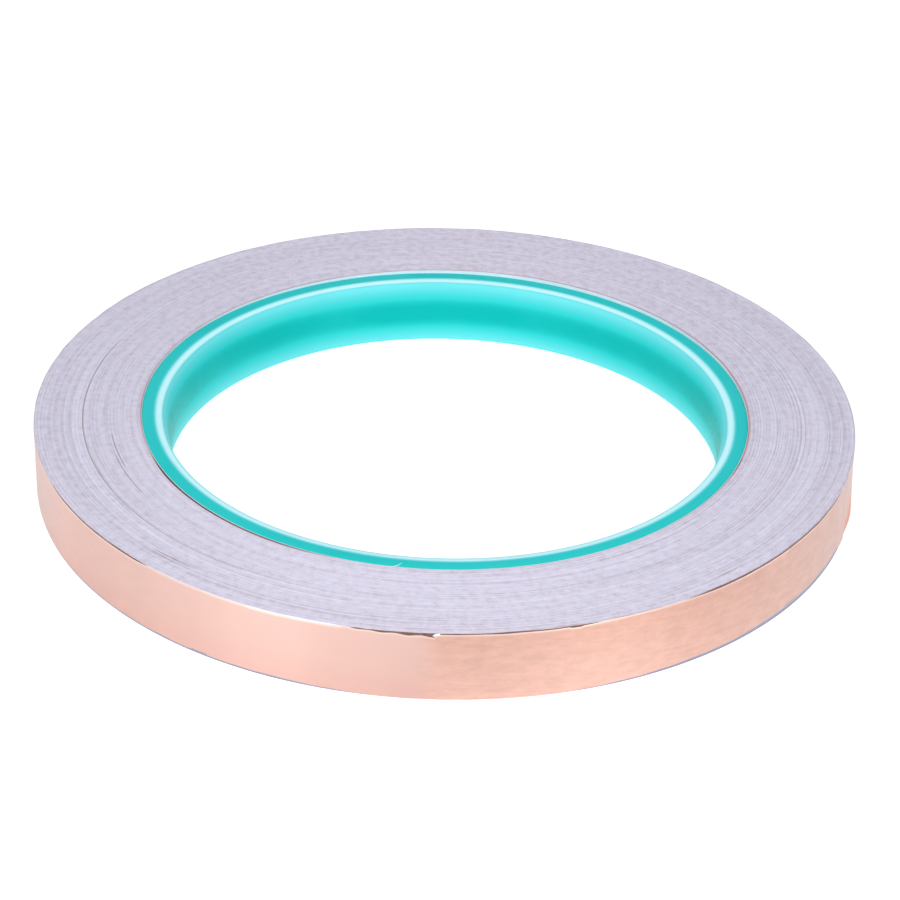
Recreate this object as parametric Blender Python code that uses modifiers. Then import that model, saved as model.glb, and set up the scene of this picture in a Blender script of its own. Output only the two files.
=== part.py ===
"""Roll of copper foil tape on a three-inch plastic core, standing flat on its side.

The tape is one long strip of three layers: copper foil outside, adhesive, and a paper
release liner inside. It is wound counter-clockwise seen from above, from the core
outwards. The middle turns are two solid packs; the first turn, the last turn and the
loose end are modelled layer by layer. Metres, +Z up, origin under the middle of the roll.
"""

import math

import bmesh
import bpy

MM = 0.001

# Tape
TAPE_WIDTH = 10.0 * MM
FOIL_THICK = 0.035 * MM
ADHESIVE_THICK = 0.025 * MM
LINER_THICK = 0.060 * MM
LAYER_GAP = 0.010 * MM
TAPE_PITCH = FOIL_THICK + ADHESIVE_THICK + LINER_THICK + 3 * LAYER_GAP

# Roll
ROLL_RADIUS = 57.0 * MM
SLACK_LINE_RADIUS = 50.2 * MM
SLACK_GAP = 0.05 * MM
PACK_GAP = 0.02 * MM

# Core
CORE_RADIUS = 42.1 * MM
CORE_BORE_RADIUS = 38.1 * MM
CORE_BOTTOM = 0.2 * MM
CORE_TOP = 9.8 * MM
CORE_EDGE = 0.15 * MM
RIM_INNER_RADIUS = 40.4 * MM
BEVEL_INNER_RADIUS = 39.2 * MM
BEVEL_DEPTH = 0.2 * MM
FOOT_RADIUS = 38.6 * MM
WALL_STEPS = 8

# Every round piece has the same corners, so neighbouring turns nest with an even gap.
CORNERS = 120
CORNER_STEP = 2 * math.pi / CORNERS

# Loose end of the tape
TAIL_END_ANGLE = math.radians(-17.0)
TAIL_LINKS = 5
LINK_CORNERS = 2
LINK_ARC = LINK_CORNERS * CORNER_STEP
LINK_SLIT = 0.10 * MM

# First turn
START_ANGLE = TAIL_END_ANGLE
START_SLIT = 0.4 * MM


def clear_scene():
    for thing in list(bpy.data.objects):
        bpy.data.objects.remove(thing, do_unlink=True)


def make_material(name, colour, roughness, metallic):
    material = bpy.data.materials.new(name)
    material.use_nodes = True
    shader = material.node_tree.nodes["Principled BSDF"]
    shader.inputs["Base Color"].default_value = (*colour, 1.0)
    shader.inputs["Roughness"].default_value = roughness
    shader.inputs["Metallic"].default_value = metallic
    return material


def add_object(name, data, material, collection):
    part = bpy.data.objects.new(name, data)
    data.materials.append(material)
    collection.objects.link(part)
    return part


def shade_round(mesh):
    mesh.polygons.foreach_set("use_smooth", [True] * len(mesh.polygons))
    mesh.set_sharp_from_angle(angle=math.radians(30))


def core_profile():
    """Half section of the core as (radius, height), down the outside and up the bore."""
    wall_top = CORE_TOP - BEVEL_DEPTH
    wall_foot = CORE_BOTTOM + CORE_EDGE
    outline = [
        (RIM_INNER_RADIUS, CORE_TOP),
        (CORE_RADIUS - CORE_EDGE, CORE_TOP),
        (CORE_RADIUS, CORE_TOP - CORE_EDGE),
        (CORE_RADIUS, CORE_BOTTOM + CORE_EDGE),
        (CORE_RADIUS - CORE_EDGE, CORE_BOTTOM),
        (FOOT_RADIUS + CORE_EDGE, CORE_BOTTOM),
    ]
    # The bore is narrowest at mid height and opens out towards both ends.
    for step in range(WALL_STEPS + 1):
        share = step / WALL_STEPS
        end_radius = BEVEL_INNER_RADIUS if share > 0.5 else FOOT_RADIUS
        flare = (end_radius - CORE_BORE_RADIUS) * (2 * share - 1) ** 2
        outline.append((CORE_BORE_RADIUS + flare, wall_foot + (wall_top - wall_foot) * share))
    return outline


def make_core(collection, material):
    outline = core_profile()
    mesh = bpy.data.meshes.new("core_ring")
    sides = [(i, (i + 1) % len(outline)) for i in range(len(outline))]
    mesh.from_pydata([(radius, 0.0, height) for radius, height in outline], sides, [])
    core = add_object("core_ring", mesh, material, collection)
    core.rotation_euler.z = TAIL_END_ANGLE
    turn = core.modifiers.new("turn", "SCREW")
    turn.angle = 2 * math.pi
    turn.steps = CORNERS
    turn.render_steps = CORNERS
    turn.use_merge_vertices = True
    turn.merge_threshold = 0.000001
    turn.use_smooth_shade = False
    return core


def spiral_radius(outer_radius, angle):
    """Radius of the last turn's path at an angle counted back from the tape's end."""
    return outer_radius + TAPE_PITCH * (angle - TAIL_END_ANGLE) / (2 * math.pi)


def make_strip(name, angles, radii, thickness, collection, material):
    """An upright strip along a curved path, with its layer's thickness."""
    mesh = bpy.data.meshes.new(name)
    shape = bmesh.new()
    foot = [
        shape.verts.new((radius * math.cos(angle), radius * math.sin(angle), 0.0))
        for angle, radius in zip(angles, radii)
    ]
    edges = [shape.edges.new(pair) for pair in zip(foot, foot[1:])]
    raised = bmesh.ops.extrude_edge_only(shape, edges=edges)["geom"]
    top = [item for item in raised if isinstance(item, bmesh.types.BMVert)]
    bmesh.ops.translate(shape, verts=top, vec=(0.0, 0.0, TAPE_WIDTH))
    bmesh.ops.recalc_face_normals(shape, faces=shape.faces)
    shape.to_mesh(mesh)
    shape.free()
    shade_round(mesh)
    strip = add_object(name, mesh, material, collection)
    skin = strip.modifiers.new("thickness", "SOLIDIFY")
    skin.thickness = thickness
    skin.offset = 0.0
    skin.use_even_offset = True
    return strip


def place_on_hinge(piece, hinge):
    """Hang a piece made in world position from the hinge that it turns on."""
    piece.parent = hinge
    piece.matrix_parent_inverse = hinge.matrix_world.inverted()


def path_angles(start, end):
    """The corners between two angles, with the path's own two ends."""
    first = math.floor((start - TAIL_END_ANGLE) / CORNER_STEP + 1e-3) + 1
    last = math.ceil((end - TAIL_END_ANGLE) / CORNER_STEP - 1e-3) - 1
    inner = [TAIL_END_ANGLE + corner * CORNER_STEP for corner in range(first, last + 1)]
    return [start, *inner, end]


def circle_path(radius):
    return [(corner * CORNER_STEP + TAIL_END_ANGLE, radius) for corner in range(CORNERS)]


def make_pack(name, outer_path, inner_radius, collection, material):
    """Closely wound turns as one solid: a flat outline with a round hole, extruded."""
    outline = bpy.data.curves.new(name, "CURVE")
    outline.dimensions = "2D"
    outline.fill_mode = "BOTH"
    outline.extrude = TAPE_WIDTH / 2
    for path in (outer_path, circle_path(inner_radius)):
        spline = outline.splines.new("POLY")
        spline.points.add(len(path) - 1)
        for point, (angle, radius) in zip(spline.points, path):
            point.co = (radius * math.cos(angle), radius * math.sin(angle), 0.0, 1.0)
        spline.use_cyclic_u = True
    pack = add_object(name, outline, material, collection)
    pack.location.z = TAPE_WIDTH / 2
    return pack


def stepped_path(outer_radius):
    """One turn of the spiral, with the step where the last turn leaves the pack."""
    turn_start = TAIL_END_ANGLE - 2 * math.pi
    angles = [turn_start + corner * CORNER_STEP for corner in range(CORNERS + 1)]
    return [(angle, spiral_radius(outer_radius, angle)) for angle in angles]


def layer_radii(outside):
    """Middle radius and thickness of each layer of a turn, from the turn's outside radius."""
    foil = outside - FOIL_THICK / 2
    adhesive = foil - FOIL_THICK / 2 - LAYER_GAP - ADHESIVE_THICK / 2
    liner = adhesive - ADHESIVE_THICK / 2 - LAYER_GAP - LINER_THICK / 2
    return {
        "foil": (foil, FOIL_THICK),
        "adhesive": (adhesive, ADHESIVE_THICK),
        "liner": (liner, LINER_THICK),
    }


def make_first_turn(collection, materials):
    """The turn next to the core, its liner against the core's outside."""
    slit = START_SLIT / CORE_RADIUS
    angles = path_angles(START_ANGLE + slit, START_ANGLE + 2 * math.pi - slit)
    outside = CORE_RADIUS + TAPE_PITCH
    for layer, (radius, thickness) in layer_radii(outside).items():
        radii = [radius] * len(angles)
        name = "first_turn_" + layer
        make_strip(name, angles, radii, thickness, collection, materials[layer])
    return outside


def make_last_turn(collection, materials):
    start = TAIL_END_ANGLE - 2 * math.pi + LINK_SLIT / ROLL_RADIUS
    end = TAIL_END_ANGLE - TAIL_LINKS * LINK_ARC - LINK_SLIT / ROLL_RADIUS
    angles = path_angles(start, end)
    for layer, (radius, thickness) in layer_radii(ROLL_RADIUS).items():
        radii = [spiral_radius(radius, angle) for angle in angles]
        name = "last_turn_" + layer
        make_strip(name, angles, radii, thickness, collection, materials[layer])


def make_tail(collection, materials):
    """The loose end: short stretches of tape, each on its own upright hinge line."""
    for link in range(1, TAIL_LINKS + 1):
        root_angle = TAIL_END_ANGLE - (TAIL_LINKS - link + 1) * LINK_ARC
        hinge = bpy.data.objects.new(f"tail_hinge_{link}", None)
        hinge.empty_display_size = TAPE_WIDTH / 2
        radius = spiral_radius(ROLL_RADIUS, root_angle)
        hinge.location = (radius * math.cos(root_angle), radius * math.sin(root_angle), 0.0)
        collection.objects.link(hinge)
        bpy.context.view_layer.update()
        slit = LINK_SLIT / ROLL_RADIUS
        angles = path_angles(root_angle + slit, root_angle + LINK_ARC - slit)
        for layer, (layer_radius, thickness) in layer_radii(ROLL_RADIUS).items():
            radii = [spiral_radius(layer_radius, angle) for angle in angles]
            name = f"tail_{layer}_{link}"
            strip = make_strip(name, angles, radii, thickness, collection, materials[layer])
            place_on_hinge(strip, hinge)


def main():
    clear_scene()
    collection = bpy.data.collections.new("copper_foil_tape_roll")
    bpy.context.scene.collection.children.link(collection)
    materials = {
        "core": make_material("core_plastic", (0.03, 0.60, 0.57), 0.35, 0.0),
        "wound": make_material("wound_edges", (0.62, 0.59, 0.68), 0.6, 0.0),
        "foil": make_material("copper_foil", (0.85, 0.56, 0.42), 0.3, 1.0),
        "adhesive": make_material("tape_adhesive", (0.55, 0.45, 0.35), 0.6, 0.0),
        "liner": make_material("release_liner", (0.85, 0.84, 0.88), 0.7, 0.0),
    }
    make_core(collection, materials["core"])
    first_turn_outside = make_first_turn(collection, materials)
    make_pack(
        "wound_pack_inner",
        circle_path(SLACK_LINE_RADIUS - SLACK_GAP / 2),
        first_turn_outside + PACK_GAP,
        collection,
        materials["wound"],
    )
    make_pack(
        "wound_pack_outer",
        stepped_path(ROLL_RADIUS - TAPE_PITCH),
        SLACK_LINE_RADIUS + SLACK_GAP / 2,
        collection,
        materials["wound"],
    )
    make_last_turn(collection, materials)
    make_tail(collection, materials)


main()
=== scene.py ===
"""Looks of the copper foil tape roll: the wound tape as a fine spiral of paper and foil
edges, the outer turn of copper foil, its loose end, and the moulded plastic core."""

import math

import bpy
import numpy as np
from mathutils import Matrix, Vector


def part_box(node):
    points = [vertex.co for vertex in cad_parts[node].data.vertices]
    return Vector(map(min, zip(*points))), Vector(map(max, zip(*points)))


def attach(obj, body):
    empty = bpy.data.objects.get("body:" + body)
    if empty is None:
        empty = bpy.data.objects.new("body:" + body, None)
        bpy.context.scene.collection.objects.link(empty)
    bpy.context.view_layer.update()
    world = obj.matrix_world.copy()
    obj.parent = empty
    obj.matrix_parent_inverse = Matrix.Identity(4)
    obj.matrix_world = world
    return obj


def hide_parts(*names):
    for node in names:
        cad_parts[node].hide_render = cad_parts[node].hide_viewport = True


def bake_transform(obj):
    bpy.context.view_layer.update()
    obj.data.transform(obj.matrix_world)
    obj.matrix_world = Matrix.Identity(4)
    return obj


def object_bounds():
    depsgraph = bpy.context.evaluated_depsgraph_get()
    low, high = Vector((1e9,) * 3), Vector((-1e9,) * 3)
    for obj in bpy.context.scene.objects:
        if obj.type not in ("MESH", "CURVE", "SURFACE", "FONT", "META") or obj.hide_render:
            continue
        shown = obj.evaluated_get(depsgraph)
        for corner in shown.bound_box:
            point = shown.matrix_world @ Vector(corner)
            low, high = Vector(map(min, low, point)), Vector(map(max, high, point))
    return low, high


MM = 0.001
TURN = 2 * math.pi

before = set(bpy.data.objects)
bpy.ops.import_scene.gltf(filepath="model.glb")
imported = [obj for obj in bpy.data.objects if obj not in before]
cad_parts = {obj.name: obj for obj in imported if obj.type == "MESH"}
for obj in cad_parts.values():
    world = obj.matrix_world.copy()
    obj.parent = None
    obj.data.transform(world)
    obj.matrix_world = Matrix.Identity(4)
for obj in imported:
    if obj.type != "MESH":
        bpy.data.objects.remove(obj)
cad_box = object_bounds()

# ---------------------------------------------------------------- sizes from the frame

FACE_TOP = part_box("wound_pack_outer")[1].z
FACE_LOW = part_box("wound_pack_outer")[0].z
CORE_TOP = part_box("core_ring")[1].z
CORE_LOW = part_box("core_ring")[0].z
TAPE_PITCH = 0.150 * MM
ROLL_RADIUS = 57.0 * MM
CORE_RADIUS = 42.1 * MM
SLACK_RADIUS = 50.2 * MM
TAIL_END = math.radians(-17.0)
LINK_ARC = math.radians(6.0)
LINKS = 5
FOIL_THICK = 0.035 * MM
ADHESIVE_THICK = 0.025 * MM
LINER_THICK = 0.060 * MM
LAYER_GAP = 0.010 * MM
END_SLIT = 0.10 * MM

INNER_TURNS = 52
OUTER_TURNS = 44
PACK_GAP = 0.006 * MM
STATIONS_PER_TURN = 200

# Turns that stand open on the wound face, painted brown partly as shade of their gaps: radius
# in mm, start and end in degrees, depth.
INNER_MARKS = (
    (46.4, 193, 203, 0.8),
    (46.9, 201, 211, 0.7),
    (44.0, 296, 318, 0.4),
)
OUTER_MARKS = (
    (50.2, 162, 238, 0.8),
    (50.5, 212, 216, 0.6),
    (54.2, 226, 228, 0.8),
    (53.9, 227.5, 229.5, 0.8),
    (53.5, 228, 231, 0.8),
    (53.3, 230.5, 233, 0.8),
    (53.1, 232.5, 234.5, 0.8),
    (52.5, 312, 313.5, 0.5),
    (54.5, 301.5, 303.5, 0.6),
    (55.0, 310, 312, 0.6),
)


# ---------------------------------------------------------------- mesh helpers


def new_object(name, verts, faces, materials, face_material=None, uv=None, sharp=35.0):
    """A mesh object from arrays, smooth but for edges sharper than the angle given."""
    mesh = bpy.data.meshes.new(name)
    mesh.from_pydata(np.asarray(verts).tolist(), [], np.asarray(faces).tolist())
    for material in materials:
        mesh.materials.append(material)
    if face_material is not None:
        mesh.polygons.foreach_set("material_index", np.asarray(face_material, np.int32))
    mesh.polygons.foreach_set("use_smooth", np.ones(len(mesh.polygons), bool))
    if uv is not None:
        layer = mesh.uv_layers.new(name="along")
        corner = np.empty(len(mesh.loops), np.int32)
        mesh.loops.foreach_get("vertex_index", corner)
        layer.data.foreach_set("uv", np.asarray(uv, np.float32)[corner].ravel())
    mesh.validate()
    mesh.set_sharp_from_angle(angle=math.radians(sharp))
    piece = bpy.data.objects.new(name, mesh)
    bpy.context.scene.collection.objects.link(piece)
    return piece


def add_attribute(piece, name, values):
    attribute = piece.data.attributes.new(name, "FLOAT", "POINT")
    attribute.data.foreach_set("value", np.asarray(values, np.float32))


def wave(angle, seed, harmonics, falloff=1.0):
    """A smooth random value around the roll, about -1 to 1, the same each run."""
    rng = np.random.default_rng(seed)
    total = np.zeros_like(angle)
    scale = 0.0
    for harmonic in range(1, harmonics + 1):
        size = harmonic ** -falloff
        total = total + size * np.cos(harmonic * angle + rng.uniform(0, TURN))
        scale += size * size
    return total / math.sqrt(scale)


def between(angle, start, end, soft_start, soft_end):
    """1 between two angles in degrees, with a soft rise and fall, else 0."""
    degrees = (np.degrees(angle) - start + 180.0) % 360.0 - 180.0
    length = (end - start) % 360.0
    rise = np.clip((degrees + soft_start) / soft_start, 0, 1)
    fall = np.clip((length + soft_end - degrees) / soft_end, 0, 1)
    both = np.minimum(rise, fall)
    return both * both * (3 - 2 * both)


# ---------------------------------------------------------------- shape of the winding


def face_drop(angle, radius):
    """How far the wound face lies under its highest place. It leans a little towards
    the front and right beside the core, and is level at the outside."""
    share = (radius - CORE_RADIUS) / (ROLL_RADIUS - CORE_RADIUS)
    inner = 0.085 + 0.085 * np.cos(angle) - 0.075 * np.sin(angle)
    inner = np.maximum(inner, 0.0) + 0.01
    outer = 0.035 + 0.020 * wave(angle, 11, 3)
    return (inner * (1 - share) + outer * share) * MM


def face_rise(angle):
    """The same under the roll, where it lies on the table."""
    return (0.05 + 0.03 * wave(angle, 12, 3)) * MM


def turn_noise(stations, seed, harmonics, memory):
    """A value along the spiral that drifts around each turn and changes from turn to
    turn. With a memory near 1, neighbouring turns are alike."""
    rng = np.random.default_rng(seed)
    turns = stations // STATIONS_PER_TURN + 2
    position = np.arange(stations) / STATIONS_PER_TURN
    angle = position * TURN
    below = position.astype(int)
    share = position - below
    total = np.zeros(stations)
    fresh = math.sqrt(1 - memory ** 2)
    for harmonic in range(harmonics + 1):
        size = 1.0 / (1.0 + 0.35 * harmonic)
        for shape in (np.cos, np.sin):
            kicks = rng.normal(0, 1, turns)
            drift = np.empty(turns)
            drift[0] = kicks[0]
            for turn in range(1, turns):
                drift[turn] = memory * drift[turn - 1] + fresh * kicks[turn]
            amount = drift[below] * (1 - share) + drift[below + 1] * share
            total += size * amount * shape(harmonic * angle)
    return total / total.std()


def late_climb(share):
    """The climb, 0 to 1, of a turn that lies against a ring until just before its end."""
    last_part = 0.04
    rise = np.clip((share - 1 + last_part) / last_part, 0, 1)
    return rise * rise * (3 - 2 * rise)


def line_tone(turn, angle, seed):
    """Lighter and darker turns in groups of two or three, each a long arc."""
    drift = 1.3 * wave(angle, seed, 5, 0.8)
    return np.sin(TURN * turn / 2.6 + drift + 2.0 * np.sin(turn * 0.37))


def spiral_pack(
    name, turns, inner_start, outer_end, opening, marks, seed, materials, on_ring=False
):
    """Wound tape: one spiral band of liner edge, adhesive and foil edge on each face,
    joined by the liner's inner side and the foil's outer side. opening(angle) widens
    the gap before the first turn, and the turns after it take it up. A mark is a turn
    that stands open: its radius, start and end angle in degrees, and its depth 0 to 1.
    on_ring lays the first turn against a round ring and bares its foil's edge."""
    per_turn = STATIONS_PER_TURN
    stations = turns * per_turn + 1
    station = np.arange(stations)
    turn = station / per_turn
    angle = TAIL_END + turn * TURN
    pitch = (outer_end - inner_start) / (turns + 1)
    start = inner_start + pitch * turn
    way_round = turn % 1.0
    settle = late_climb(way_round) - way_round if on_ring else 0.0
    start = start + (opening(angle) + pitch * settle) * (1 - turn / turns) ** 2
    shares = np.array([0.02, 0.56, 0.63, 0.94])
    width = np.full(stations, pitch)
    width[:-per_turn] = start[per_turn:] - start[:-per_turn]
    radius = start[:, None] + width[:, None] * shares[None, :]

    lay = turn_noise(stations, seed, 3, 0.6)
    burr = turn_noise(stations, seed + 2, 60, 0.0)
    tone_and_back_shade = 0.45 * turn_noise(stations, seed + 3, 4, 0.0)
    tone_and_back_shade = tone_and_back_shade + 0.40 * line_tone(turn, angle, seed + 4) + 0.35 * burr
    # Painted shade: the turns are made darker towards the back of the roll, and their lighter
    # and darker lines fainter there.
    back = np.clip(np.sin(angle), 0, 1)
    tone_and_back_shade = tone_and_back_shade * (1 - 0.5 * back) - 0.45 * back
    open_edge = np.zeros(stations)
    for mark_radius, mark_start, mark_end, depth in marks:
        near = np.abs(start - mark_radius * MM) < pitch / 2
        mark = near * depth * between(angle, mark_start, mark_end, 1.5, 1.5)
        open_edge = np.maximum(open_edge, mark)
    liner = (0.012 * lay) * MM
    foil = liner - (0.030 + 0.020 * burr + 0.25 * open_edge) * MM
    offset = np.stack([liner, liner, foil, foil], axis=1)

    verts = []
    for face in (1, 0):
        if face:
            height = np.minimum(FACE_TOP - face_drop(angle, start)[:, None] + offset, FACE_TOP)
        else:
            height = np.maximum(FACE_LOW + face_rise(angle)[:, None] - offset, FACE_LOW)
        points = np.stack(
            [radius * np.cos(angle)[:, None], radius * np.sin(angle)[:, None], height], axis=2
        )
        verts.append(points.reshape(-1, 3))
    count = stations * 4
    here = station[:-1] * 4
    quads, kinds = [], []
    for column in range(3):
        a = here + column
        quads.append(np.stack([a, a + 1, a + 5, a + 4], axis=1))
        kinds.append(np.full(len(a), 0 if column == 0 else 1))
    inward = station[: -per_turn - 1] * 4 + 3
    outward = inward - 3 + per_turn * 4
    quads.append(np.stack([inward, outward, outward + 4, inward + 4], axis=1))
    kinds.append(np.full(len(inward), 1))
    top = np.concatenate(quads)
    kind = np.concatenate(kinds)

    low = top[:, ::-1] + count
    walls, wall_kind = close_rim(top, count)
    faces = np.concatenate([top, low, walls])
    face_kind = np.concatenate([kind, kind, wall_kind])
    piece = new_object(name, np.concatenate(verts), faces, materials, face_kind)
    add_attribute(piece, "tone_and_back_shade", np.tile(np.repeat(tone_and_back_shade, 4), 2))
    open_points = open_edge[:, None] * np.array([0.0, 0.6, 1.0, 1.0])[None, :]
    add_attribute(piece, "open_edge", np.tile(open_points.ravel(), 2))
    bared = np.zeros(stations)
    if on_ring:
        bared = np.clip(1.15 - turn, 0, 1) ** 0.5 * (0.75 + 0.12 * burr)
    add_attribute(piece, "bared", np.tile(np.repeat(np.clip(bared, 0, 1), 4), 2))
    return piece


def close_rim(top, count):
    """Upright quads between the open edges of the top band and those of the low one."""
    edges = np.concatenate([top[:, [i, (i + 1) % 4]] for i in range(4)])
    key = edges[:, 0].astype(np.int64) * count + edges[:, 1]
    back = edges[:, 1].astype(np.int64) * count + edges[:, 0]
    open_edges = edges[~np.isin(key, back)]
    a, b = open_edges[:, 0], open_edges[:, 1]
    walls = np.stack([b, a, a + count, b + count], axis=1)
    outer = (a % 4 == 3) & (b % 4 == 3)
    return walls, np.where(outer, 2, 3)


def ribbon(name, angles, outside, thickness, low, high, rows, material, swell=None):
    """An upright strip of one layer: outside radius, low edge and high edge at each
    angle, divided in rows so that its face can wrinkle by swell(angle, share)."""
    share = np.linspace(0, 1, rows + 1)
    if rows > 4:
        share = np.concatenate([share[:-1], np.linspace(0.975, 1.0, 6)])
        rows = len(share) - 1
    height = low[:, None] + (high - low)[:, None] * share[None, :]
    radius = np.repeat(outside[:, None], rows + 1, axis=1)
    if swell is not None:
        radius = radius + swell(angles[:, None], share[None, :])
    sides = []
    for inset in (0.0, thickness):
        r = radius - inset
        points = [r * np.cos(angles)[:, None], r * np.sin(angles)[:, None], height]
        sides.append(np.stack(points, axis=2).reshape(-1, 3))
    columns = rows + 1
    count = len(angles) * columns
    step = np.arange(len(angles) - 1)[:, None] * columns
    a = (step + np.arange(rows)[None, :]).ravel()
    face_out = np.stack([a, a + columns, a + columns + 1, a + 1], axis=1)
    face_in = face_out[:, ::-1] + count
    edge = np.arange(len(angles) - 1) * columns
    rim_low = np.stack([edge, edge + count, edge + columns + count, edge + columns], axis=1)
    rim_high = rim_low[:, ::-1] + rows
    column = np.arange(rows)
    cap_start = np.stack([column, column + 1, column + 1 + count, column + count], axis=1)
    cap_end = cap_start[:, ::-1] + (len(angles) - 1) * columns
    faces = np.concatenate([face_out, face_in, rim_low, rim_high, cap_start, cap_end])
    length = np.repeat(angles * float(np.mean(outside)), columns)
    uv = np.stack([length, height.ravel()], axis=1)
    piece = new_object(
        name, np.concatenate(sides), faces, [material], uv=np.concatenate([uv, uv]), sharp=50.0
    )
    # lip marks the top rows of a wide strip, where the copper paints a highlight.
    lip = np.clip((share - 0.974) / 0.008, 0, 1) * (rows > 4)
    add_attribute(piece, "lip", np.tile(lip, 2 * len(angles)))
    return piece


# ---------------------------------------------------------------- materials


class Nodes:
    """Short names for building one material's node tree."""

    def __init__(self, name):
        self.material = bpy.data.materials.new(name)
        self.material.use_nodes = True
        self.tree = self.material.node_tree
        self.shader = self.tree.nodes["Principled BSDF"]

    def add(self, kind, **settings):
        node = self.tree.nodes.new(kind)
        for key, value in settings.items():
            setattr(node, key, value)
        return node

    def link(self, source, target):
        self.tree.links.new(source, target)

    def set(self, **values):
        for key, value in values.items():
            self.shader.inputs[key.replace("_", " ")].default_value = value

    def math(self, operation, a, b=None, c=None):
        node = self.add("ShaderNodeMath", operation=operation)
        for slot, value in enumerate((a, b, c)):
            if value is None:
                continue
            if isinstance(value, (int, float)):
                node.inputs[slot].default_value = value
            else:
                self.link(value, node.inputs[slot])
        return node.outputs[0]

    def noise(self, vector, scale, detail=3.0, roughness=0.5):
        node = self.add("ShaderNodeTexNoise")
        node.inputs["Scale"].default_value = scale
        node.inputs["Detail"].default_value = detail
        node.inputs["Roughness"].default_value = roughness
        self.link(vector, node.inputs["Vector"])
        return node.outputs["Fac"]

    def stretch(self, vector, scale):
        node = self.add("ShaderNodeMapping")
        node.inputs["Scale"].default_value = scale
        self.link(vector, node.inputs["Vector"])
        return node.outputs["Vector"]

    def slant(self, vector, turn, scale):
        turned = self.add("ShaderNodeMapping")
        turned.inputs["Rotation"].default_value = (0.0, 0.0, turn)
        self.link(vector, turned.inputs["Vector"])
        return self.stretch(turned.outputs["Vector"], scale)

    def ramp(self, factor, stops):
        node = self.add("ShaderNodeValToRGB")
        elements = node.color_ramp.elements
        while len(elements) < len(stops):
            elements.new(0.5)
        for element, (position, colour) in zip(elements, stops):
            element.position = position
            element.color = (*colour, 1.0)
        self.link(factor, node.inputs["Fac"])
        return node.outputs["Color"]

    def mix(self, factor, a, b, blend="MIX"):
        node = self.add("ShaderNodeMix", data_type="RGBA", blend_type=blend)
        for slot, value in ((0, factor), (6, a), (7, b)):
            if isinstance(value, (int, float)):
                node.inputs[slot].default_value = value
            elif isinstance(value, tuple):
                node.inputs[slot].default_value = (*value, 1.0)
            else:
                self.link(value, node.inputs[slot])
        return node.outputs[2]

    def range(self, value, low, high, to_low, to_high):
        node = self.add("ShaderNodeMapRange")
        self.link(value, node.inputs["Value"])
        for key, number in (
            ("From Min", low),
            ("From Max", high),
            ("To Min", to_low),
            ("To Max", to_high),
        ):
            node.inputs[key].default_value = number
        return node.outputs["Result"]

    def surface_bump(self, height, strength, distance):
        node = self.add("ShaderNodeBump")
        node.inputs["Strength"].default_value = strength
        node.inputs["Distance"].default_value = distance
        self.link(height, node.inputs["Height"])
        self.link(node.outputs["Normal"], self.shader.inputs["Normal"])

    def attribute(self, name):
        return self.add("ShaderNodeAttribute", attribute_name=name).outputs["Fac"]

    def split(self, vector):
        node = self.add("ShaderNodeSeparateXYZ")
        self.link(vector, node.inputs["Vector"])
        return node.outputs

    def place(self):
        return self.add("ShaderNodeTexCoord").outputs["Object"]

    def along(self):
        return self.add("ShaderNodeUVMap", uv_map="along").outputs["UV"]

    def colour(self, value):
        self.link(value, self.shader.inputs["Base Color"])

    def roughness(self, value):
        self.link(value, self.shader.inputs["Roughness"])


def edge_colour_and_gap_shade(nodes, colour):
    """The turn beside the core shows its foil's pink edge, and a turn that stands open
    is painted brown: partly its foil and adhesive, partly painted shade of its open gap."""
    bared = nodes.attribute("bared")
    colour = nodes.mix(bared, colour, (0.72, 0.40, 0.40))
    # Painted shade: an open turn's brown stands partly for the dark of its gap.
    open_edge = nodes.attribute("open_edge")
    return nodes.mix(open_edge, colour, (0.38, 0.20, 0.17))


def liner_edge_material():
    nodes = Nodes("liner_edges")
    place = nodes.place()
    tone_and_back_shade = nodes.attribute("tone_and_back_shade")
    base = nodes.ramp(
        nodes.range(tone_and_back_shade, -2.0, 2.0, 0.0, 1.0),
        [
            (0.0, (0.56, 0.54, 0.64)),
            (0.35, (0.70, 0.69, 0.80)),
            (0.65, (0.79, 0.78, 0.90)),
            (1.0, (0.90, 0.90, 0.99)),
        ],
    )
    blotch = nodes.noise(place, 170.0, 3.0, 0.5)
    warm = nodes.range(blotch, 0.50, 0.75, 0.0, 0.30)
    tinted = nodes.mix(warm, base, (0.80, 0.72, 0.82))
    rim = nodes.range(nodes.split(place)["Y"], -56.8 * MM, -55.0 * MM, 0.55, 0.0)
    tinted = nodes.mix(rim, tinted, (0.78, 0.66, 0.71))
    speck = nodes.noise(place, 2600.0, 2.0, 0.6)
    dust = nodes.range(speck, 0.60, 0.78, 0.0, 0.22)
    nodes.colour(edge_colour_and_gap_shade(nodes, nodes.mix(dust, tinted, (0.50, 0.42, 0.46))))
    nodes.roughness(nodes.range(blotch, 0.3, 0.7, 0.75, 0.9))
    nodes.set(Specular_IOR_Level=0.15)
    nodes.surface_bump(speck, 0.2, 0.02 * MM)
    return nodes.material


def foil_edge_material():
    """The cut edge of the foil, dulled by adhesive."""
    nodes = Nodes("foil_edges")
    place = nodes.place()
    tone_and_back_shade = nodes.attribute("tone_and_back_shade")
    grime = nodes.noise(place, 900.0, 3.0, 0.6)
    shade = nodes.math("ADD", grime, nodes.math("MULTIPLY", tone_and_back_shade, 0.10))
    edge = nodes.ramp(
        shade,
        [
            (0.25, (0.46, 0.37, 0.42)),
            (0.50, (0.66, 0.59, 0.68)),
            (0.75, (0.76, 0.71, 0.82)),
        ],
    )
    nodes.colour(edge_colour_and_gap_shade(nodes, edge))
    nodes.set(Metallic=0.1, Roughness=0.6, Specular_IOR_Level=0.2)
    nodes.surface_bump(grime, 0.3, 0.02 * MM)
    return nodes.material


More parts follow.
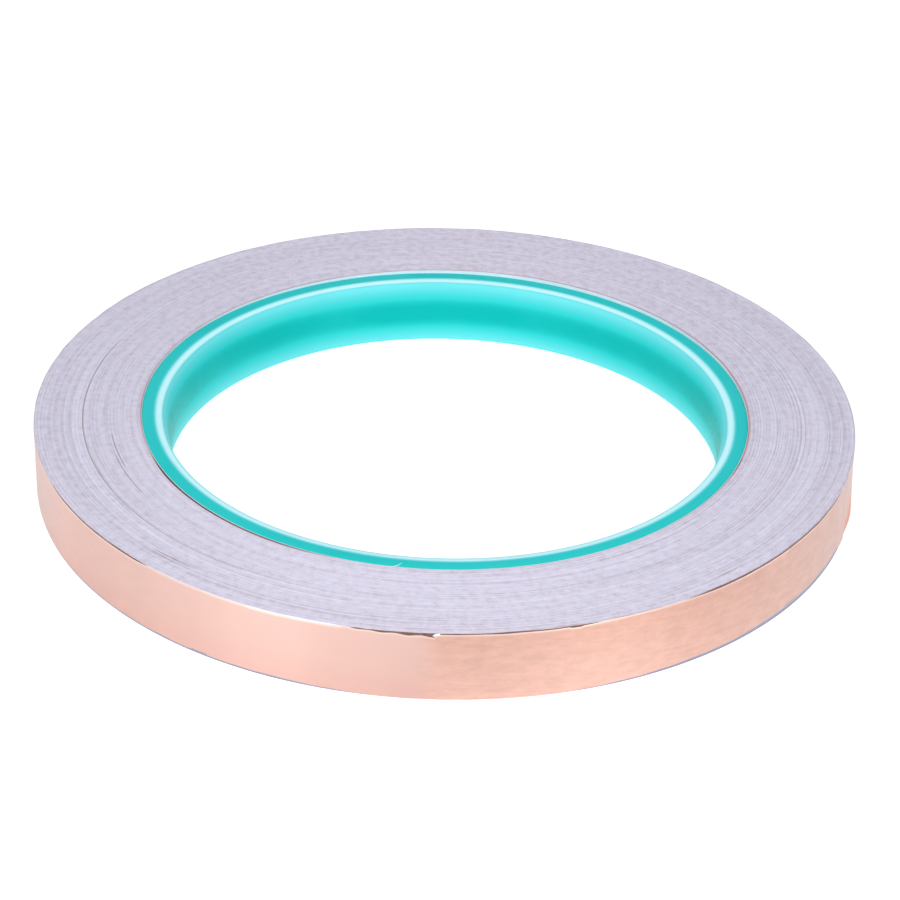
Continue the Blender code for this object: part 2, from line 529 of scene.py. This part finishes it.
def copper_material():
    """Rolled copper foil: fine lines along the tape spread its reflections upright. The
    stretch towards the loose end has been handled, so it is scuffed by rubbing and warmer;
    its colour also carries painted reflections, a painted highlight and painted shade.
    Lengths are in metres round the roll's outside, from the +X direction."""
    nodes = Nodes("copper_foil")
    along = nodes.along()
    split = nodes.split(along)
    length, height = split["X"], split["Y"]
    level = nodes.range(height, 0.0, 10.0 * MM, 0.0, 1.0)
    handled = nodes.range(length, -0.0925, -0.0885, 0.0, 1.0)
    # Painted reflection: soft upright bands of lighter and darker copper, standing for
    # reflections of the softboxes in the foil.
    reflection_bands = nodes.noise(nodes.stretch(along, (75.0, 8.0, 1.0)), 1.0, 2.0, 0.5)
    lines = nodes.noise(nodes.stretch(along, (50.0, 7000.0, 1.0)), 1.0, 3.0, 0.6)
    mottle = nodes.noise(nodes.stretch(along, (420.0, 950.0, 1.0)), 1.0, 5.0, 0.7)
    scratches = nodes.noise(nodes.slant(along, 0.10, (90.0, 2600.0, 1.0)), 1.0, 3.0, 0.6)
    scratches = nodes.math("MULTIPLY", scratches, 0.25)
    rubbing_and_glints = nodes.math("MULTIPLY_ADD", mottle, 0.75, scratches)

    # Painted reflection: the copper's colour changes with height, lighter towards the top on
    # the clean stretch and darker towards the top on the handled one.
    clean = nodes.ramp(
        level,
        [
            (0.0, (0.722, 0.455, 0.396)),
            (0.5, (0.747, 0.498, 0.435)),
            (1.0, (0.765, 0.514, 0.453)),
        ],
    )
    reflection_bands_and_lines = nodes.math("ADD", reflection_bands, nodes.math("MULTIPLY", lines, 0.15))
    clean = nodes.mix(1.0, clean, nodes.range(reflection_bands_and_lines, 0.35, 0.80, 0.96, 1.04), "MULTIPLY")
    warm = nodes.ramp(
        level,
        [
            (0.0, (0.765, 0.490, 0.412)),
            (0.5, (0.730, 0.455, 0.374)),
            (0.95, (0.700, 0.420, 0.340)),
        ],
    )
    # Partly rubbed wear, partly painted reflection: the mottle of the wrinkled foil is
    # multiplied into its colour.
    warm = nodes.mix(1.0, warm, nodes.range(rubbing_and_glints, 0.38, 0.62, 0.94, 1.07), "MULTIPLY")
    skin = nodes.mix(handled, clean, warm)
    # Painted reflection: the copper is made greyer and paler towards the roll's left and right
    # outlines, where it is seen edge-on.
    edge_on_right = nodes.range(length, -0.055, -0.018, 0.0, 0.6)
    edge_on_left = nodes.range(length, -0.172, -0.148, 0.6, 0.0)
    skin = nodes.mix(nodes.math("MAXIMUM", edge_on_right, edge_on_left), skin, (0.66, 0.50, 0.46))

    # Painted shade: an orange patch low on the turn just past the loose end, which the end
    # shades, with a soft edge.
    reach = nodes.range(length, -0.3746, -0.3676, 0.6 * MM, 5.0 * MM)
    reach = nodes.math("ADD", reach, nodes.range(mottle, 0.3, 0.7, -1.2 * MM, 0.8 * MM))
    end_shade = nodes.range(nodes.math("SUBTRACT", height, reach), -1.6 * MM, 0.2 * MM, 1.0, 0.0)
    end_shade = nodes.math("MULTIPLY", end_shade, nodes.range(length, -0.3680, -0.3580, 1.0, 0.0))
    skin = nodes.mix(end_shade, skin, (0.80, 0.29, 0.18))
    # Painted highlight: the lip rows along the foil's top edge are made lighter.
    lip = nodes.attribute("lip")
    nodes.colour(nodes.mix(nodes.math("MULTIPLY", lip, 0.6), skin, (0.95, 0.78, 0.70)))
    nodes.roughness(nodes.range(rubbing_and_glints, 0.3, 0.7, 0.46, 0.36))
    nodes.set(Metallic=1.0, Anisotropic=0.75, Anisotropic_Rotation=0.25)
    tangent = nodes.add("ShaderNodeTangent", direction_type="RADIAL", axis="Z")
    nodes.link(tangent.outputs["Tangent"], nodes.shader.inputs["Tangent"])
    crease = nodes.math("MULTIPLY", nodes.math("MULTIPLY", rubbing_and_glints, 0.55), handled)
    relief = nodes.math("ADD", crease, nodes.math("MULTIPLY", lines, 0.12))
    nodes.surface_bump(relief, 0.4, 0.05 * MM)
    return nodes.material


def liner_face_material():
    nodes = Nodes("release_liner")
    along = nodes.along()
    fibre = nodes.noise(nodes.stretch(along, (900.0, 2600.0, 1.0)), 1.0, 4.0, 0.6)
    patch = nodes.noise(nodes.stretch(along, (140.0, 180.0, 1.0)), 1.0, 3.0, 0.5)
    base = nodes.ramp(patch, [(0.3, (0.78, 0.80, 0.88)), (0.7, (0.88, 0.90, 0.97))])
    paper = nodes.mix(nodes.range(fibre, 0.4, 0.8, 0.0, 0.25), base, (0.70, 0.68, 0.74))
    # Painted shade: the liner is darkened and turned grey-blue along its lowest 1.5 mm, where
    # it shows under the foil's raised edge.
    low_edge_shade = nodes.range(nodes.split(along)["Y"], 0.4 * MM, 1.5 * MM, 0.95, 0.0)
    nodes.colour(nodes.mix(low_edge_shade, paper, (0.24, 0.25, 0.34)))
    nodes.roughness(nodes.range(fibre, 0.3, 0.7, 0.45, 0.65))
    nodes.surface_bump(fibre, 0.2, 0.01 * MM)
    return nodes.material


def adhesive_material():
    nodes = Nodes("tape_adhesive")
    along = nodes.along()
    grain = nodes.noise(nodes.stretch(along, (1500.0, 1500.0, 1.0)), 1.0, 3.0, 0.6)
    # Dark brown: partly the adhesive's colour, partly painted shade, since it is raised to
    # stand for the shaded gap where the foil's edge has slipped.
    nodes.colour(nodes.ramp(grain, [(0.3, (0.09, 0.035, 0.025)), (0.7, (0.22, 0.11, 0.08))]))
    nodes.roughness(nodes.range(grain, 0.3, 0.7, 0.35, 0.6))
    nodes.surface_bump(grain, 0.4, 0.02 * MM)
    return nodes.material


def core_material():
    """Tinted translucent plastic, painted paler at the bevel as a painted highlight, and at
    the ends of the bore as painted light that comes in at the ends."""
    nodes = Nodes("core_plastic")
    place = nodes.place()
    paleness = nodes.attribute("paleness")
    cloud = nodes.noise(place, 60.0, 3.0, 0.5)
    shade = nodes.math("ADD", paleness, nodes.range(cloud, 0.3, 0.7, -0.03, 0.03))
    nodes.colour(
        nodes.ramp(
            shade,
            [
                (0.0, (0.002, 0.435, 0.405)),
                (0.12, (0.026, 0.580, 0.565)),
                (0.45, (0.105, 0.645, 0.660)),
                (0.75, (0.20, 0.77, 0.80)),
                (1.0, (0.62, 0.97, 1.0)),
            ],
        )
    )
    nodes.set(Specular_IOR_Level=0.05)
    grain = nodes.noise(place, 1400.0, 2.0, 0.5)
    nodes.roughness(nodes.range(grain, 0.3, 0.7, 0.34, 0.46))
    nodes.surface_bump(grain, 0.12, 0.01 * MM)
    return nodes.material


def floor_material():
    nodes = Nodes("studio_floor")
    soft = nodes.noise(nodes.place(), 2.0, 2.0, 0.5)
    nodes.colour(nodes.ramp(soft, [(0.3, (0.50, 0.50, 0.50)), (0.7, (0.54, 0.54, 0.54))]))
    nodes.set(Roughness=0.8, Emission_Strength=0.72)
    nodes.shader.inputs["Emission Color"].default_value = (1.0, 1.0, 1.0, 1.0)
    return nodes.material


# ---------------------------------------------------------------- pieces


def core_section():
    """The core's outline as rows of (radius, height, paleness), with rounded corners.
    The bore is narrowest at mid height and opens out towards both ends."""
    rim_inner = 40.40 * MM
    bevel_inner = 39.20 * MM
    bore = 38.10 * MM
    foot = 38.60 * MM
    soft = 0.06 * MM
    wall_top = CORE_TOP - 0.20 * MM
    low = CORE_LOW + soft
    rows = []

    def corner(centre_z, start, end):
        for step in range(5):
            turn = math.radians(start + (end - start) * step / 4)
            radius = CORE_RADIUS - soft + soft * math.cos(turn)
            rows.append((radius, centre_z + soft * math.sin(turn), 0.12))

    corner(low, -90, 0)
    corner(CORE_TOP - soft, 0, 90)
    rows.append((rim_inner + 0.25 * MM, CORE_TOP, 0.12))
    # Painted highlight: the bevel's rows are given high paleness, up to white-cyan.
    rows.append((rim_inner + 0.05 * MM, CORE_TOP - 0.005 * MM, 0.35))
    rows.append((rim_inner - 0.15 * MM, CORE_TOP - 0.02 * MM, 0.80))
    rows.append((rim_inner - 0.50 * MM, CORE_TOP - 0.06 * MM, 1.0))
    rows.append((bevel_inner + 0.35 * MM, wall_top + 0.08 * MM, 1.0))
    rows.append((bevel_inner + 0.12 * MM, wall_top + 0.03 * MM, 0.85))
    steps = 32
    for step in range(steps + 1):
        share = 1 - step / steps
        end_radius = bevel_inner if share > 0.5 else foot
        flare = (end_radius - bore) * (2 * share - 1) ** 2
        rows.append((bore + flare, low + (wall_top - low) * share, -1.0 - share))
    # Painted light: the foot of the bore is given more paleness.
    rows.append((foot + 0.3 * soft, CORE_LOW + 0.1 * soft, 0.5))
    rows.append((foot + soft, CORE_LOW, 0.3))
    return rows


def wall_glow(share, angle):
    """Paleness of the bore wall: light comes through its two ends, most at the back."""
    back = np.clip(np.sin(angle), 0, 1)
    top = 0.62 * np.exp(-(((1 - share) / (0.13 + 0.07 * back)) ** 2))
    low = 0.54 * np.exp(-((share / (0.27 - 0.05 * back)) ** 2))
    return top + low


def core_lean(x, y):
    """The core sits a little askew in the wound tape, highest at the left and front."""
    return (-0.12 - 0.17 * x / CORE_RADIUS - 0.19 * y / CORE_RADIUS) * MM


def make_core(material):
    section = np.array(core_section())
    around = 360
    angle = np.arange(around) / around * TURN
    count = len(section)
    radius = section[None, :, 0] - 0.012 * MM * (1 + wave(angle, 31, 4)[:, None])
    x = radius * np.cos(angle)[:, None]
    y = radius * np.sin(angle)[:, None]
    height = np.repeat(section[None, :, 1], around, axis=0)
    share = (height - CORE_LOW) / (CORE_TOP - CORE_LOW)
    height = height + core_lean(x, y) * (0.4 + 0.6 * share)
    verts = np.stack([x, y, height], axis=2).reshape(-1, 3)
    i = np.arange(around)[:, None] * count
    j = np.arange(count)[None, :]
    nxt = ((np.arange(around) + 1) % around)[:, None] * count
    a, b = (i + j).ravel(), (i + (j + 1) % count).ravel()
    c, d = (nxt + (j + 1) % count).ravel(), (nxt + j).ravel()
    core = new_object("core", verts, np.stack([a, d, c, b], axis=1), [material], sharp=60.0)
    # paleness carries the core's painted highlight at the bevel and painted light on the bore
    # wall.
    pale = np.repeat(section[None, :, 2], around, axis=0)
    wall = wall_glow(np.clip(-1.0 - pale, 0, 1), angle[:, None])
    add_attribute(core, "paleness", np.where(pale < 0, wall, pale).ravel())
    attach(core, "roll")
    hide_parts("core_ring")


def first_turn_gap(angle):
    """The first turn stands off the next one along the front."""
    return (0.005 + 0.21 * between(angle, 210, 240, 12, 14)) * MM


def slack_gap(angle):
    """The slack line part way out, widest at the left."""
    return (0.005 + 0.006 * between(angle, 150, 205, 25, 30)) * MM


def make_wound_tape(materials):
    inner = spiral_pack(
        "wound_tape_inner",
        INNER_TURNS,
        CORE_RADIUS + TAPE_PITCH + PACK_GAP,
        SLACK_RADIUS - PACK_GAP,
        first_turn_gap,
        INNER_MARKS,
        101,
        materials,
        on_ring=True,
    )
    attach(inner, "roll")
    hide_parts("wound_pack_inner")
    outer = spiral_pack(
        "wound_tape_outer",
        OUTER_TURNS,
        SLACK_RADIUS - TAPE_PITCH + PACK_GAP,
        ROLL_RADIUS - TAPE_PITCH,
        slack_gap,
        OUTER_MARKS,
        202,
        materials,
    )
    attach(outer, "roll")
    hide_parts("wound_pack_outer")


LAYERS = (
    ("foil", 0.0, FOIL_THICK),
    ("adhesive", FOIL_THICK + LAYER_GAP, ADHESIVE_THICK),
    ("liner", FOIL_THICK + ADHESIVE_THICK + 2 * LAYER_GAP, LINER_THICK),
)


def make_first_turn(materials):
    """The turn next to the core. Its foil's edge fills the step at the tape's start."""
    slit = math.radians(0.15)
    angles = np.linspace(TAIL_END + slit, TAIL_END + TURN - slit, 480)
    trims = {"foil": 0.01, "adhesive": 0.06, "liner": 0.0}
    step = TAPE_PITCH * late_climb((angles - TAIL_END) / TURN)
    for layer, depth, thickness in LAYERS:
        outside = np.full(len(angles), CORE_RADIUS + TAPE_PITCH - depth)
        if layer == "foil":
            outside = outside + step
            thickness = thickness + step[:, None]
        ragged = 0.012 * (1 + wave(angles, 40 + len(layer), 60, 0.4))
        level = FACE_TOP - face_drop(angles, outside)
        high = level - (trims[layer] + 0.01 + ragged) * MM
        low = FACE_LOW + face_rise(angles) + (trims[layer] + 0.03 + ragged) * MM
        name = "first_turn_" + layer + "_strip"
        piece = ribbon(name, angles, outside, thickness, low, high, 1, materials[layer])
        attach(piece, "roll")
        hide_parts("first_turn_" + layer)


def outer_radius(angles, depth):
    """Outside radius of a layer of the last turn, which climbs one pitch in a turn."""
    return ROLL_RADIUS - 0.02 * MM - depth + TAPE_PITCH * (angles - TAIL_END) / TURN


def sunk_edge(angles):
    """Where the foil's upper edge has slid down. The dark adhesive behind it is raised there,
    as painted shade of the open gap.
    """
    left = between(angles, -152, -134, 8, 5)
    front = between(angles, -90.4, -72, 0.3, 6)
    right = between(angles, -52, -24, 9, 6)
    return np.maximum(np.maximum(left, 0.8 * front), right)


def pulled_edge(angles):
    """Where the foil's upper edge is pulled down in a wedge, deepest at its end."""
    depth = np.clip((np.degrees(angles) + 101.0) / 10.4, 0, 1)
    ragged = 0.8 + 0.2 * np.sin(angles * 110)
    return between(angles, -100, -90.6, 3, 0.2) * (0.3 + 0.7 * depth) * ragged


def paper_edge(angles):
    """Where the foil's upper edge is low and the white liner behind it shows."""
    strong = between(angles, -114, -103, 3, 1.5)
    return np.maximum(strong, 0.4 * between(angles, -127, -114, 5, 2))


def foil_top(angles):
    """The foil's upper edge: slightly ragged, low where its stretches have slipped."""
    ragged = 0.02 * wave(angles, 51, 90, 0.3)
    dents = 0.14 * between(angles, -73.3, -72.2, 0.5, 0.4)
    slipped = 0.20 * sunk_edge(angles) + 0.60 * pulled_edge(angles) + 0.20 * paper_edge(angles)
    drop = face_drop(angles, ROLL_RADIUS) + (0.03 + ragged + dents + slipped) * MM
    return FACE_TOP - np.maximum(drop, 0.01 * MM)


def foil_low(angles):
    """The foil's lower edge: it stands clear of the table at both sides, so that the
    liner shows under it."""
    ragged = 0.03 * wave(angles, 52, 90, 0.3)
    dents = 0.16 * between(angles, -123.5, -121.5, 0.5, 0.5)
    left = 0.24 * between(angles, -166, -112, 10, 18)
    right = 0.42 * between(angles, -52, -22, 26, 5) + 0.34 * between(angles, -38, -24, 12, 6)
    return FACE_LOW + face_rise(angles) + (0.08 + ragged + dents + left + right) * MM


def foil_swell(angle, share):
    """The foil's relief: long soft waves, a lip that leans in over the top edge, and
    a foot that stands out where the turn before the loose end is free."""
    soft = 0.010 * (wave(angle, 61, 24, 0.6) - 2.0) * np.sin(math.pi * share) ** 0.5
    lip = np.clip((share - 0.975) / 0.025, 0, 1) ** 2
    started = np.degrees(angle) < -300
    foot = 0.28 * between(angle, -10.5, -7, 6.3, 6) * (1 - share) ** 1.5 * started
    return (soft - 0.03 * lip + foot) * MM


def edge_heights(layer, angles):
    if layer == "foil":
        return foil_low(angles), foil_top(angles)
    ragged = 0.02 * wave(angles, 70 + len(layer), 80, 0.4)
    if layer == "adhesive":
        # Painted shade: where the foil's edge is low, the dark adhesive is raised close to the
        # face, standing for the shade in the gap behind the foil.
        bared = np.clip(sunk_edge(angles) + 3 * pulled_edge(angles), 0, 1)
        low_trim = 0.75
        high_trim = 0.16 - 0.14 * bared + 0.25 * paper_edge(angles) * (1 - bared) + ragged
    else:
        low_trim, high_trim = 0.02, 0.05 + ragged
    low = FACE_LOW + face_rise(angles) + low_trim * MM
    high = FACE_TOP - np.maximum(face_drop(angles, ROLL_RADIUS) + high_trim * MM, 0.01 * MM)
    return low, high


def make_outer_strip(name, layer, depth, thickness, start, end, material, stations):
    angles = np.linspace(start, end, stations)
    low, high = edge_heights(layer, angles)
    rows = 20 if layer == "foil" else 2
    swell = foil_swell if layer == "foil" else None
    outside = outer_radius(angles, depth)
    return ribbon(name, angles, outside, thickness, low, high, rows, material, swell)


def make_last_turn(materials):
    root = TAIL_END - LINKS * LINK_ARC
    start = TAIL_END - TURN + END_SLIT / ROLL_RADIUS
    for layer, depth, thickness in LAYERS:
        name = "last_turn_" + layer + "_strip"
        piece = make_outer_strip(
            name, layer, depth, thickness, start, root, materials[layer], 1300
        )
        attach(piece, "roll")
        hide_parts("last_turn_" + layer)


def make_tail(materials):
    """The loose end, one piece from each hinge line to the next."""
    for link in range(1, LINKS + 1):
        hinge = TAIL_END - (LINKS - link + 1) * LINK_ARC
        end = TAIL_END - END_SLIT / ROLL_RADIUS if link == LINKS else hinge + LINK_ARC
        for layer, depth, thickness in LAYERS:
            name = f"tail_{layer}_strip_{link}"
            piece = make_outer_strip(
                name, layer, depth, thickness, hinge, end, materials[layer], 30
            )
            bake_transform(piece)
            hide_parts(f"tail_{layer}_{link}")


def sliver(name, path, width, thickness, upright, material):
    """A torn shred of paper along a path of (radius in mm, degrees, height in mm), with
    pointed ends. It lies flat, or stands on its edge when upright."""
    steps = 15
    given = np.array(path, float)
    place = np.linspace(0, len(given) - 1, steps)
    columns = [np.interp(place, np.arange(len(given)), given[:, i]) for i in range(3)]
    radius, height = columns[0] * MM, columns[2] * MM
    angle = np.radians(columns[1])
    taper = np.sin(np.linspace(0.12, math.pi - 0.12, steps)) ** 0.7
    taper = taper * (1 + 0.2 * np.sin(np.arange(steps) * 2.3))
    rings = []
    for across, through in ((-1, -1), (1, -1), (1, 1), (-1, 1)):
        wide, thin = across * taper * width / 2, through * thickness / 2
        r = radius + (thin if upright else wide)
        z = height + (wide if upright else thin)
        rings.append(np.stack([r * np.cos(angle), r * np.sin(angle), z], axis=1))
    verts = np.stack(rings, axis=1).reshape(-1, 3)
    last = 4 * (steps - 1)
    faces = [(3, 2, 1, 0), (last, last + 1, last + 2, last + 3)]
    for step in range(steps - 1):
        for side in range(4):
            a, b = step * 4 + side, step * 4 + (side + 1) % 4
            faces.append((a, b, b + 4, a + 4))
    mesh = bpy.data.meshes.new(name)
    mesh.from_pydata(verts.tolist(), [], faces)
    mesh.materials.append(material)
    mesh.uv_layers.new(name="along")
    mesh.validate()
    piece = bpy.data.objects.new(name, mesh)
    bpy.context.scene.collection.objects.link(piece)
    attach(piece, "roll")


def make_slivers(material):
    """Two shreds of liner paper: one over the core's rim, one at the end of the place
    where the foil is pulled down."""
    rim = (
        (42.45, -99.4, 9.90),
        (42.35, -98.5, 9.92),
        (42.15, -97.9, 9.93),
        (41.3, -97.0, 9.95),
    )
    sliver("liner_shred_rim", rim, 0.22 * MM, 0.04 * MM, False, material)
    edge = (
        (56.91, -90.9, 9.56),
        (56.92, -90.6, 9.66),
        (56.92, -90.3, 9.72),
        (56.91, -90.0, 9.82),
    )
    sliver("liner_shred_edge", edge, 0.36 * MM, 0.04 * MM, True, material)


# ---------------------------------------------------------------- studio


def make_floor(material):
    size = 3.0
    corners = [(-size, -size, 0), (size, -size, 0), (size, size, 0), (-size, size, 0)]
    mesh = bpy.data.meshes.new("floor")
    mesh.from_pydata(corners, [], [(0, 1, 2, 3)])
    mesh.materials.append(material)
    floor = bpy.data.objects.new("floor", mesh)
    floor.location.z = cad_box[0][2] - 0.02 * MM
    bpy.context.scene.collection.objects.link(floor)


def add_softbox(name, azimuth, elevation, distance, size, power):
    light = bpy.data.lights.new(name, "AREA")
    light.shape = "RECTANGLE"
    light.size, light.size_y = size
    light.energy = power
    lamp = bpy.data.objects.new(name, light)
    a, e = math.radians(azimuth), math.radians(elevation)
    aim = Vector((math.cos(e) * math.cos(a), math.cos(e) * math.sin(a), math.sin(e)))
    lamp.location = aim * distance
    lamp.rotation_euler = aim.to_track_quat("Z", "Y").to_euler()
    bpy.context.scene.collection.objects.link(lamp)


def make_studio():
    scene = bpy.context.scene
    scene.view_settings.view_transform = "Standard"
    world = bpy.data.worlds.new("studio")
    world.use_nodes = True
    background = world.node_tree.nodes["Background"]
    background.inputs["Color"].default_value = (0.93, 0.97, 1.05, 1.0)
    background.inputs["Strength"].default_value = 0.48
    scene.world = world
    add_softbox("softbox_left", -134, 26, 0.75, (0.30, 0.45), 1.9)
    add_softbox("softbox_right", -48, 26, 0.75, (0.30, 0.45), 1.65)
    add_softbox("softbox_top", -90, 62, 0.50, (0.40, 0.30), 0.75)


def make_camera():
    """A view from the front, 30 degrees above the table, through a long lens. The
    camera is rolled a little over."""
    elevation = math.radians(29.90)
    distance = 7.2275 * ROLL_RADIUS
    middle = Vector((0.0, 0.0, (FACE_TOP + FACE_LOW) / 2))
    back = Vector((0.0, -math.cos(elevation), math.sin(elevation)))
    camera = bpy.data.cameras.new("camera")
    camera.sensor_width = 36.0
    camera.lens = 117.54
    camera.shift_x = 0.0060
    camera.shift_y = -0.0144
    camera.clip_start = 0.01
    eye = bpy.data.objects.new("camera", camera)
    level = back.to_track_quat("Z", "Y").to_matrix().to_4x4()
    roll = Matrix.Rotation(0.0226, 4, "Z")
    eye.matrix_world = Matrix.Translation(middle + back * distance) @ level @ roll
    bpy.context.scene.collection.objects.link(eye)
    bpy.context.scene.camera = eye


def main():
    strips = {
        "foil": copper_material(),
        "adhesive": adhesive_material(),
        "liner": liner_face_material(),
    }
    edges = [liner_edge_material(), foil_edge_material(), strips["foil"], strips["liner"]]
    make_camera()
    make_studio()
    make_floor(floor_material())
    make_core(core_material())
    make_first_turn(strips)
    make_wound_tape(edges)
    make_last_turn(strips)
    make_tail(strips)
    make_slivers(strips["liner"])


main()
